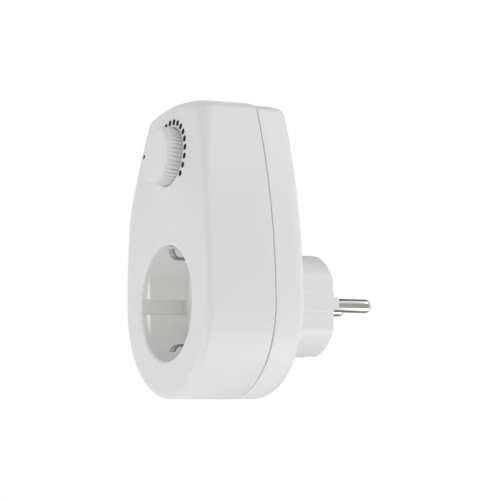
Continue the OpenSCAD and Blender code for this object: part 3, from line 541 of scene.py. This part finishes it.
# The profile of (radius, depth) is a slightly dished face, an elliptic edge, the side and the hollow behind.
# Each flute is a raised cosine to a power, so that it is narrow and leaves broad ridges.
def buildKnob():
    k = knob
    wide, deep = k["edge"]
    faceRows, edgeRows, sideRows = k["rows"]
    flatRadius, inside = k["radius"] - wide, k["radius"] - k["skirt"]
    under = k["faceThick"] - k["height"]
    profile = []
    for r in np.linspace(0, flatRadius, faceRows):
        profile.append((r, k["dish"] * (1 - (r / flatRadius) ** 2) - k["height"]))
    for inset, down in quarter(1, edgeRows)[1:]:
        profile.append((k["radius"] - wide * inset, deep * down - k["height"]))
    for depth in np.linspace(deep - k["height"], k["back"], sideRows)[1:]:
        profile.append((k["radius"], depth))
    profile += [(inside, k["back"]), (inside, under), (k["hub"], under), (k["hub"], k["back"])]
    profile += [(k["bore"], k["back"]), (k["bore"], under), (0, under)]
    radius, depth = np.array(profile).T[:, :, None]
    angle = np.linspace(0, 2 * math.pi, k["flutes"] * k["perFlute"], endpoint=False)[None]
    onSide = (radius > flatRadius) * eased((depth + k["height"]) / k["fade"])
    wave = (0.5 + 0.5 * np.cos(k["flutes"] * angle)) ** k["fluteShape"]
    return weld("knobCap", [onPanel(radius - k["fluteDepth"] * onSide * wave, angle, depth)], sharp=50)


# Printed dots: low domes whose rim is sunk a little, each a disc of rings about its centre
scale = {
    "count": 18, "first": math.radians(214.4), "step": math.radians(-14.64),
    "at": 12.32 * mm, "dot": 1.09 * mm, "lift": 0.02 * mm, "points": 40,
    "rings": ((0, 1), (0.4, 0.98), (0.7, 0.9), (0.9, 0.7), (1, 0), (1, -1), (0, -1)),
}


def buildDots(name, centres, radius, lift):
    share, height = np.array(scale["rings"], float).T[:, :, None]
    angle = np.linspace(0, 2 * math.pi, scale["points"], endpoint=False)[None]
    disc = leaning(share * radius, angle) + (height * lift)[..., None] * outward
    return weld(name, [disc + centre for centre in centres], sharp=60)


knobCap = buildKnob()
pointerCentre = onPanel(knob["pointerAt"], knob["pointerAngle"], -knob["height"])
knobMark = buildDots("knobMark", [pointerCentre], knob["pointer"], knob["pointerLift"])
dotAngles = scale["first"] + scale["step"] * np.arange(scale["count"])
scaleDots = buildDots("scaleDots", onPanel(scale["at"], dotAngles, 0), scale["dot"], scale["lift"])
print("stage: knob and scale built")

# Pins: a turned profile of (radius, y) with a domed tip
pins = {
    "radius": 2.4 * mm, "grip": 2.6 * mm, "collar": (3.6 * mm, 1.5 * mm), "length": 19 * mm,
    "tail": 8 * mm, "shoulder": 0.15 * mm, "tipRows": 14, "points": 64,
}


def buildPin(name, x):
    p = pins
    collar, thick = p["collar"]
    tail, behind = faceEndY - p["tail"], faceEndY - plug["face"]
    profile = [(0, tail), (p["radius"], tail), (p["radius"], behind - thick)]
    profile += [(collar, behind - thick), (collar, behind), (p["grip"], behind)]
    profile += [(p["grip"], faceEndY - p["shoulder"]), (p["radius"], faceEndY + p["shoulder"])]
    a = np.linspace(0, math.pi / 2, p["tipRows"])
    tip = faceEndY + p["length"] - p["radius"]
    profile += list(zip(p["radius"] * np.cos(a), tip + p["radius"] * np.sin(a)))
    radius, y = np.array(profile).T[:, :, None]
    angle = np.linspace(0, 2 * math.pi, p["points"], endpoint=False)[None]
    return weld(name, [aboutY(radius, angle, y, (x, 0))])


pinLive = buildPin("pinLive", plug["pinX"])
pinNeutral = buildPin("pinNeutral", -plug["pinX"])

# Sprung strips: the earth clip with its two arms in the recess, and the strap along the plug's channels
strips = {
    "thick": 0.9 * mm, "rounding": 0.3, "bend": 0.8 * mm, "tip": 1 * mm, "tipWidth": 0.7,
    "cornerPoints": 5, "topPoints": 40, "riseRows": 40, "flatRows": 16, "curlRows": 24, "endRows": 8,
    "clipWidth": 3 * mm, "root": 18.2 * mm, "low": (14.5 * mm, 16.8 * mm), "high": (15.5 * mm, 18.8 * mm),
    "crestDepth": 9 * mm, "endDepth": 2.8 * mm, "curl": 2.6 * mm,
    "dents": {"at": (-1.1 * mm, 0, 1.1 * mm), "spread": 0.25 * mm, "depth": 0.3 * mm, "length": 2.4 * mm,
              "fadeIn": 0.96 * mm, "fadeOut": 0.25 * mm},
    "strapWidth": 5.5 * mm, "strapZ": 16.5 * mm, "strapEnd": 1 * mm, "strapRows": 24,
}


# A rounded oblong section swept along a path in the YZ plane, narrowed at both ends.
# On the side towards the path's normal, lengthwise dents fade in over the last stretch before each end.
def sweepStrip(name, path, width, dents=None):
    s = strips
    edge = s["rounding"] * s["thick"]
    along = np.gradient(path, axis=0)
    along /= np.linalg.norm(along, axis=1)[:, None]
    normal = np.column_stack([-along[:, 1], along[:, 0]])
    run = np.concatenate([[0], np.cumsum(np.linalg.norm(np.diff(path, axis=0), axis=1))])
    toEnd = np.minimum(run, run[-1] - run)
    share = np.clip(toEnd / s["tip"], 0, 1)
    wide = width / 2 * (s["tipWidth"] + (1 - s["tipWidth"]) * np.sqrt(1 - (1 - share) ** 2))
    one, flat = np.ones(s["cornerPoints"]), np.linspace(1, -1, s["topPoints"] + 2)[1:-1]
    turns = [np.linspace(q, q + math.pi / 2, len(one)) for q in np.arange(4) * math.pi / 2]
    signX = np.concatenate([one, flat, -one, -one, one])
    signN = np.concatenate([one, 0 * flat + 1, one, -one, -one])
    cosine = np.concatenate([np.cos(turns[0]), 0 * flat, *np.cos(turns[1:])])
    sine = np.concatenate([np.sin(turns[0]), 0 * flat + 1, *np.sin(turns[1:])])
    x = (wide[:, None] - edge) * signX + edge * cosine
    off = (s["thick"] / 2 - edge) * signN + edge * sine + 0 * x
    if dents:
        fade = np.clip((dents["length"] - toEnd) / dents["fadeIn"], 0, 1)
        fade = (fade * np.clip(toEnd / dents["fadeOut"], 0, 1))[:, None]
        onTop = (sine == 1) * (signN > 0)
        for place in dents["at"]:
            off -= dents["depth"] * fade * onTop * np.exp(-((x - place) / dents["spread"]) ** 2)
    yz = path[:, None] + off[..., None] * normal[:, None]
    body = np.stack([x, yz[..., 0], yz[..., 1]], -1)
    ends = [np.repeat(body[i].mean(0)[None], body.shape[1], 0)[None] for i in (0, -1)]
    return weld(name, [np.concatenate([ends[0], body, ends[1]])], sharp=60)


def bothArms(low, high):
    return np.concatenate([(low * [1, -1])[::-1], high])


def bend(corner, radius, start):
    return arc(corner, radius, start, start + math.pi / 2 * (1 if start == 0 else -1), filletSteps)


# A spring arm rises in half a cosine wave to its crest, runs flat and curls outwards in a quarter circle
def clipArm(crest, end):
    s = strips
    baseY = floorY + socket["floor"] + s["thick"] / 2
    crestY, endY = frontY + s["crestDepth"], frontY + s["endDepth"]
    u = np.linspace(0, 1, s["riseRows"])[1:]
    fall = (s["root"] - crest) * (1 - np.cos(math.pi * u)) / 2
    rise = np.column_stack([floorY + (crestY - floorY) * u, s["root"] - fall])
    v = np.linspace(0, math.acos(1 - min((end - crest) / s["curl"], 1)), s["curlRows"])
    curl = np.column_stack([endY + s["curl"] * (1 - np.sin(v)), crest + s["curl"] * (1 - np.cos(v))])
    corner = bend((baseY - s["bend"], s["root"] - s["bend"]), s["bend"], 0)
    parts = [corner, rise, bridge(rise[-1], curl[0], s["flatRows"]), curl]
    if end > crest + s["curl"]:
        parts += [bridge(curl[-1], np.array([endY, end]), s["endRows"]), [[endY, end]]]
    return np.concatenate(parts)


def buildEarthClip():
    path = bothArms(clipArm(*strips["low"]), clipArm(*strips["high"]))
    return sweepStrip("earthClip", path, strips["clipWidth"], strips["dents"])


def buildEarthStrap():
    s = strips
    baseY = floorY + socket["floor"] + 1.5 * s["thick"]
    armZ = s["strapZ"] - s["thick"] / 2
    corner = bend((baseY + s["bend"], armZ - s["bend"]), s["bend"], math.pi)
    length = np.linspace(baseY + s["bend"], faceEndY - s["strapEnd"], s["strapRows"])[1:]
    arm = np.concatenate([corner, np.column_stack([length, np.full(len(length), armZ)])])
    return sweepStrip("earthStrap", bothArms(arm, arm), s["strapWidth"])


earthClip = buildEarthClip()
earthStrap = buildEarthStrap()
print("stage: metal built")

# Finishes: broad noise shades the colour a little, fine noise varies the gloss and raises a light grain
plainLook = {
    "stretch": (1, 1, 1), "broad": 70, "fine": 2200, "detail": 3, "spread": 0.05,
    "grain": 0.05, "grainDepth": 0.02 * mm, "metal": 0, "specular": 0.5,
}


def mixNode(nodes):
    mix = nodes.new("ShaderNodeMix")
    mix.data_type = "RGBA"
    return mix


# Painted light: inside a radius about the socket's axis the colour goes over into the liner's lighter tone,
# through a short fade, lifting the shade on the lip
def paintedLipLight(nodes, links, place, shown, lip):
    inner, outer, colour = lip
    flat, far = nodes.new("ShaderNodeVectorMath"), nodes.new("ShaderNodeVectorMath")
    near, mix = nodes.new("ShaderNodeMapRange"), mixNode(nodes)
    flat.operation, far.operation = "MULTIPLY", "LENGTH"
    flat.inputs[1].default_value = (1, 0, 1)
    near.inputs["From Min"].default_value, near.inputs["From Max"].default_value = outer, inner
    mix.inputs["B"].default_value = (*colour, 1)
    links.new(place, flat.inputs[0])
    links.new(flat.outputs["Vector"], far.inputs[0])
    links.new(far.outputs["Value"], near.inputs["Value"])
    links.new(near.outputs["Result"], mix.inputs["Factor"])
    links.new(shown, mix.inputs["A"])
    return mix.outputs["Result"]


def finish(name, look):
    s = {**plainLook, **look}
    material = bpy.data.materials.new(name)
    material.use_nodes = True
    nodes, links = material.node_tree.nodes, material.node_tree.links
    shader = nodes["Principled BSDF"]
    place = nodes.new("ShaderNodeTexCoord").outputs["Object"]
    stretch = nodes.new("ShaderNodeMapping")
    stretch.inputs["Scale"].default_value = s["stretch"]
    links.new(place, stretch.inputs["Vector"])
    broad, fine = nodes.new("ShaderNodeTexNoise"), nodes.new("ShaderNodeTexNoise")
    broad.inputs["Scale"].default_value = s["broad"]
    fine.inputs["Scale"].default_value = s["fine"]
    fine.inputs["Detail"].default_value = s["detail"]
    links.new(place, broad.inputs["Vector"])
    links.new(stretch.outputs["Vector"], fine.inputs["Vector"])
    tone = mixNode(nodes)
    tone.inputs["A"].default_value = (*s["base"], 1)
    tone.inputs["B"].default_value = (*s["shade"], 1)
    links.new(broad.outputs["Fac"], tone.inputs["Factor"])
    shown = tone.outputs["Result"]
    # Painted light on the lip, where a look gives one
    if "lip" in s:
        shown = paintedLipLight(nodes, links, place, shown, s["lip"])
    links.new(shown, shader.inputs["Base Color"])
    gloss = nodes.new("ShaderNodeMapRange")
    gloss.inputs["To Min"].default_value = s["rough"] - s["spread"]
    gloss.inputs["To Max"].default_value = s["rough"] + s["spread"]
    links.new(fine.outputs["Fac"], gloss.inputs["Value"])
    links.new(gloss.outputs["Result"], shader.inputs["Roughness"])
    grain = nodes.new("ShaderNodeBump")
    grain.inputs["Strength"].default_value = s["grain"]
    grain.inputs["Distance"].default_value = s["grainDepth"]
    links.new(fine.outputs["Fac"], grain.inputs["Height"])
    links.new(grain.outputs["Normal"], shader.inputs["Normal"])
    shader.inputs["Metallic"].default_value = s["metal"]
    shader.inputs["Specular IOR Level"].default_value = s["specular"]
    return material


def grey(value, warm=0.0):
    return (value * (1 + warm / 4), value, value * (1 - warm))


looks = {
    "shell": {"base": grey(0.79, -0.006), "shade": grey(0.77, -0.006), "rough": 0.45,
              # Painted light: the lip inside the rim takes the liner's lighter tone
              "lip": (20.2 * mm, 21 * mm, grey(0.88, 0.005))},
    # Painted light: the cover is the shell's plastic made a little lighter, standing in for the brighter
    # light on its sides
    "cover": {"base": grey(0.82), "shade": grey(0.81), "rough": 0.45},
    "plug": {"base": grey(0.8, -0.015), "shade": grey(0.78, -0.015), "rough": 0.4, "grain": 0.03},
    # Painted light: the liner is much lighter than the housing's plastic, standing in for light that the
    # deep recess lacks
    "socket": {"base": grey(0.88, 0.012), "shade": grey(0.87, 0.012), "rough": 0.4, "grain": 0.03},
    # Painted light: the knob is the shell's plastic made a little lighter, to lift the shade on its fluted
    # side
    "knob": {"base": grey(0.81), "shade": grey(0.79), "rough": 0.4, "grain": 0.03},
    "print": {"base": grey(0.008), "shade": grey(0.014), "rough": 0.6, "specular": 0.15, "grain": 0.1},
    "nickel": {"base": grey(0.7, 0.03), "shade": grey(0.64, 0.04), "rough": 0.17, "metal": 1,
               "stretch": (1, 0.08, 1), "spread": 0.03},
    "spring": {"base": grey(0.32, 0.01), "shade": grey(0.26, 0.02), "rough": 0.38, "metal": 0.7,
               "stretch": (1, 0.1, 0.1), "grain": 0.15},
    "brass": {"base": (0.71, 0.5, 0.2), "shade": (0.6, 0.4, 0.15), "rough": 0.32, "metal": 1, "grain": 0.1},
    "steel": {"base": grey(0.55), "shade": grey(0.45), "rough": 0.36, "metal": 1, "grain": 0.15},
    "board": {"base": (0.03, 0.15, 0.06), "shade": (0.02, 0.11, 0.05), "rough": 0.4, "grain": 0.3},
    "dark": {"base": grey(0.025), "shade": grey(0.035), "rough": 0.5, "grain": 0.3},
    "potCase": {"base": (0.05, 0.08, 0.06), "shade": (0.04, 0.06, 0.05), "rough": 0.45, "grain": 0.2},
    "aluminium": {"base": grey(0.6), "shade": grey(0.54), "rough": 0.4, "metal": 1,
                  "stretch": (1, 0.1, 1), "grain": 0.2},
    "ferrite": {"base": grey(0.035), "shade": grey(0.05), "rough": 0.6, "grain": 0.5, "fine": 1200},
    "copper": {"base": (0.5, 0.19, 0.07), "shade": (0.4, 0.14, 0.05), "rough": 0.3, "metal": 1,
               "stretch": (0.15, 1, 0.15), "grain": 0.6},
    "filmCase": {"base": (0.55, 0.43, 0.06), "shade": (0.48, 0.36, 0.05), "rough": 0.35, "grain": 0.1},
    "smallCase": {"base": (0.45, 0.08, 0.04), "shade": (0.38, 0.06, 0.03), "rough": 0.35, "grain": 0.1},
    "glass": {"base": grey(0.66), "shade": grey(0.6), "rough": 0.15, "grain": 0.02},
    "resistor": {"base": (0.55, 0.43, 0.25), "shade": (0.48, 0.36, 0.2), "rough": 0.4, "grain": 0.1},
}
finishes = {name: finish(name, look) for name, look in looks.items()}

# New pieces: look, record's slot, body and the CAD nodes that each stands for
pieces = [
    (frontShell, "shell", "shell", "housing", ["front_shell"]),
    (rearCover, "cover", "shell", "housing", ["rear_cover"]),
    (plugBody, "plug", "shell", "housing", ["plug_body"]),
    (plugKeys, "plug", "shell", "housing", []),
    (socketLiner, "socket", "socket", "housing", ["socket_insert"]),
    (knobCap, "knob", "knob", "knob", ["dimmer_knob"]),
    (knobMark, "print", "mark", "knob", ["knob_pointer"]),
    (scaleDots, "print", "mark", "housing", []),
    (pinLive, "nickel", "pin_metal", "housing", ["plug_pin_live"]),
    (pinNeutral, "nickel", "pin_metal", "housing", ["plug_pin_neutral"]),
    (earthClip, "spring", "spring_metal", "housing", ["earth_clip"]),
    (earthStrap, "spring", "spring_metal", "housing", ["plug_earth_strap"]),
]
for piece, look, slot, body, nodes in pieces:
    piece.data.materials.append(finishes[look])
    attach(piece, body)
    if nodes:
        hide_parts(*nodes)

# CAD pieces that stay as they are take a finish through their material slots
kept = {
    "earth_rivet": "spring", "contact_load": "brass", "contact_neutral": "brass", "pot_shaft": "aluminium",
    "pot_case": "potCase", "pot_terminals": "steel", "circuit_board": "board", "board_screws": "steel",
    "triac": "dark", "heat_sink": "aluminium", "heat_sink_screw": "steel", "choke_core": "ferrite",
    "choke_winding": "copper", "film_capacitor": "filmCase", "timing_capacitor": "smallCase",
    "fuse": "glass", "fuse_clips": "brass", "resistors": "resistor", "live_bar": "brass",
    "load_bar": "brass", "neutral_bar": "brass", "insert_screws": "steel", "housing_screws": "steel",
}
for node, look in kept.items():
    for place in frame["nodes"][node].material_slots:
        place.link = "OBJECT"
        place.material = finishes[look]
print("stage: finishes set")

# Camera: fitted to the photograph's pins, rims, outlines and dots
view = {
    "place": (620.17 * mm, -355.71 * mm, -50 * mm), "lens": 143.905, "sensor": 36, "clipStart": 0.01,
    "right": (0.47004, 0.88258, -0.01111), "up": (0.09221, -0.03658, 0.99507),
    "ahead": (-0.87782, 0.46874, 0.09857),
}
camera = addObject("camera", bpy.data.cameras.new("camera"))
camera.data.lens = view["lens"]
camera.data.sensor_width = view["sensor"]
camera.data.clip_start = view["clipStart"]
turned = np.column_stack([view["right"], view["up"], -np.array(view["ahead"])])
camera.matrix_world = Matrix.Translation(view["place"]) @ Matrix(turned.tolist()).to_4x4()
bpy.context.scene.camera = camera

# Studio: a pale floor below the hanging object, a dark flag overhead, a white surround and soft lamps.
# Cards stand where only reflections see them, so that the bright metal shows its form.
studio = {
    "floor": (24.0, -0.5, 0.85), "floorGlow": 0.51, "flag": (1.4, 1.1, 0.05), "surround": 0.585,
    "lamps": [
        ((-0.19, -1.27, 0.0), (0, -0.04, 0.0), (0.5, 1.6), 3.3),
        ((-0.1, -0.7, -0.47), (0, -0.05, 0.02), (0.6, 0.5), 2.0),
        ((0.8, -0.55, -0.44), (0, -0.04, 0.02), (0.5, 0.5), 0.75),
        ((0.5, 0.27, 0.76), (0, -0.03, 0.03), (0.6, 0.6), 3.45),
        ((0.24, 0.22, -0.47), (0, -0.02, -0.01), (0.4, 0.4), 1.75),
    ],
    "cards": [
        (0.14, (100, 180), (0.02, 0.17), (0.06, 0.06, 0.06)),
        (0.14, (180, 262), (0.02, 0.17), (0.22, 0.21, 0.23)),
        (0.45, (-42, 50), (0.05, 0.8), (0.5, 0.48, 0.43)),
    ],
    "cardPoints": 40,
}


# The white background, seen by camera, reflection and transmission rays alike
def seenDirectly(nodes, links):
    path = nodes.new("ShaderNodeLightPath")
    either = path.outputs["Is Camera Ray"]
    for ray in ("Is Glossy Ray", "Is Transmission Ray"):
        larger = nodes.new("ShaderNodeMath")
        larger.operation = "MAXIMUM"
        links.new(either, larger.inputs[0])
        links.new(path.outputs[ray], larger.inputs[1])
        either = larger.outputs[0]
    return either


def stageMesh(name, grid):
    rows, columns = grid.shape[:2]
    index = np.arange(rows * columns).reshape(rows, columns)
    mesh = bpy.data.meshes.new(name)
    mesh.from_pydata(grid.reshape(-1, 3).tolist(), [], quads(index).tolist())
    piece = addObject(name, mesh)
    piece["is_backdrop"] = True
    look = bpy.data.materials.new(name)
    look.use_nodes = True
    look.node_tree.nodes.clear()
    mesh.materials.append(look)
    return piece, look.node_tree.nodes, look.node_tree.links


# A level square of diffuse grey, with its shader left open for more
def stageSquare(name, size, z, shade):
    span = np.array([-1, 1]) * size / 2
    east, north = np.meshgrid(span, span)
    piece, nodes, links = stageMesh(name, np.stack([east, north, np.full((2, 2), z)], -1))
    paper, out = nodes.new("ShaderNodeBsdfDiffuse"), nodes.new("ShaderNodeOutputMaterial")
    paper.inputs["Color"].default_value = (*grey(shade), 1)
    links.new(paper.outputs[0], out.inputs["Surface"])
    return piece, nodes, links, paper, out


_, nodes, links, paper, out = stageSquare("floor", *studio["floor"])
glow = nodes.new("ShaderNodeEmission")
glow.inputs["Strength"].default_value = studio["floorGlow"]
seen, total = nodes.new("ShaderNodeMixShader"), nodes.new("ShaderNodeAddShader")
links.new(paper.outputs[0], total.inputs[0])
links.new(glow.outputs[0], total.inputs[1])
links.new(seenDirectly(nodes, links), seen.inputs[0])
links.new(paper.outputs[0], seen.inputs[1])
links.new(total.outputs[0], seen.inputs[2])
links.new(seen.outputs[0], out.inputs["Surface"])

# The flag keeps the top edges from washing out
flag = stageSquare("flag", *studio["flag"])[0]
flag.visible_camera = False

# Each card is a stretch of a tube about the plug's axis
for number, (radius, stretch, (near, far), colour) in enumerate(studio["cards"]):
    turns = np.radians(np.linspace(*stretch, studio["cardPoints"]))
    angle, y = np.meshgrid(turns, [near, far], indexing="ij")
    card, nodes, links = stageMesh(f"card{number}", aboutY(radius, angle, y))
    glow, out = nodes.new("ShaderNodeEmission"), nodes.new("ShaderNodeOutputMaterial")
    glow.inputs["Color"].default_value = (*colour, 1)
    links.new(glow.outputs[0], out.inputs["Surface"])
    card.visible_camera = card.visible_diffuse = card.visible_transmission = card.visible_shadow = False

world = bpy.data.worlds.new("studio")
bpy.context.scene.world = world
world.use_nodes = True
nodes, links = world.node_tree.nodes, world.node_tree.links
nodes.clear()
light, white = nodes.new("ShaderNodeBackground"), nodes.new("ShaderNodeBackground")
light.inputs["Color"].default_value = white.inputs["Color"].default_value = (1, 1, 1, 1)
light.inputs["Strength"].default_value = studio["surround"]
mix, out = nodes.new("ShaderNodeMixShader"), nodes.new("ShaderNodeOutputWorld")
links.new(seenDirectly(nodes, links), mix.inputs[0])
links.new(light.outputs[0], mix.inputs[1])
links.new(white.outputs[0], mix.inputs[2])
links.new(mix.outputs[0], out.inputs["Surface"])

# Lamps: place, aim, size and power
for number, (place, aim, size, power) in enumerate(studio["lamps"]):
    lamp = bpy.data.lights.new(f"lamp{number}", "AREA")
    lamp.shape = "RECTANGLE"
    lamp.size, lamp.size_y = size
    lamp.energy = power
    holder = addObject(f"lamp{number}", lamp)
    holder.location = place
    holder.rotation_euler = (Vector(place) - Vector(aim)).to_track_quat("Z", "Y").to_euler()
    holder.visible_camera = False
bpy.context.scene.view_settings.view_transform = "Standard"
print("stage: studio set")

# Lowest and highest points of each piece that is shown
lows, highs = [], []
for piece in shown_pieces():
    flat = np.empty(3 * len(piece.data.vertices))
    piece.data.vertices.foreach_get("co", flat)
    lows.append(flat.reshape(-1, 3).min(0))
    highs.append(flat.reshape(-1, 3).max(0))
